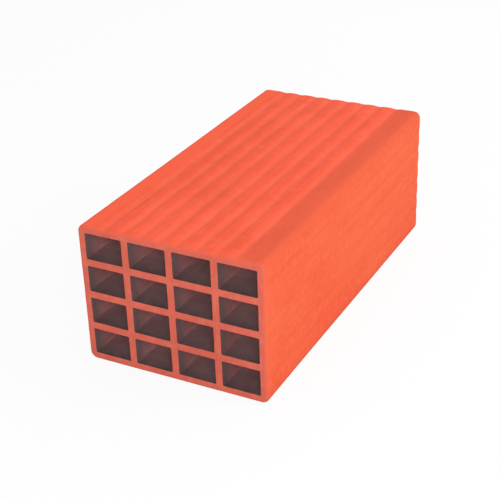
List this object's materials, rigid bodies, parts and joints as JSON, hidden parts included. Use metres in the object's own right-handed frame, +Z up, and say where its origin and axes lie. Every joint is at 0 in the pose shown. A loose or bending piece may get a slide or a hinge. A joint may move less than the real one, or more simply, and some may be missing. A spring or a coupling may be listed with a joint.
{
  "type": "hollow clay brick",
  "caption": "Extruded hollow clay brick: a long block with rounded edges, rectangular cells running right through it and shallow grooves along its faces, laid in walls.",
  "frame": {"origin": "middle of the face that the brick lies on", "axes": "+Y along the cells, +X across the width of the face it lies on, +Z up"},
  "size_m": [0.2, 0.4, 0.15],
  "materials": {
    "fired_clay": "matt unglazed orange-red fired clay, as extruded and wire-cut"
  },
  "bodies": {
    "root": {"clay_brick": "fired_clay"}
  },
  "joints": []
}
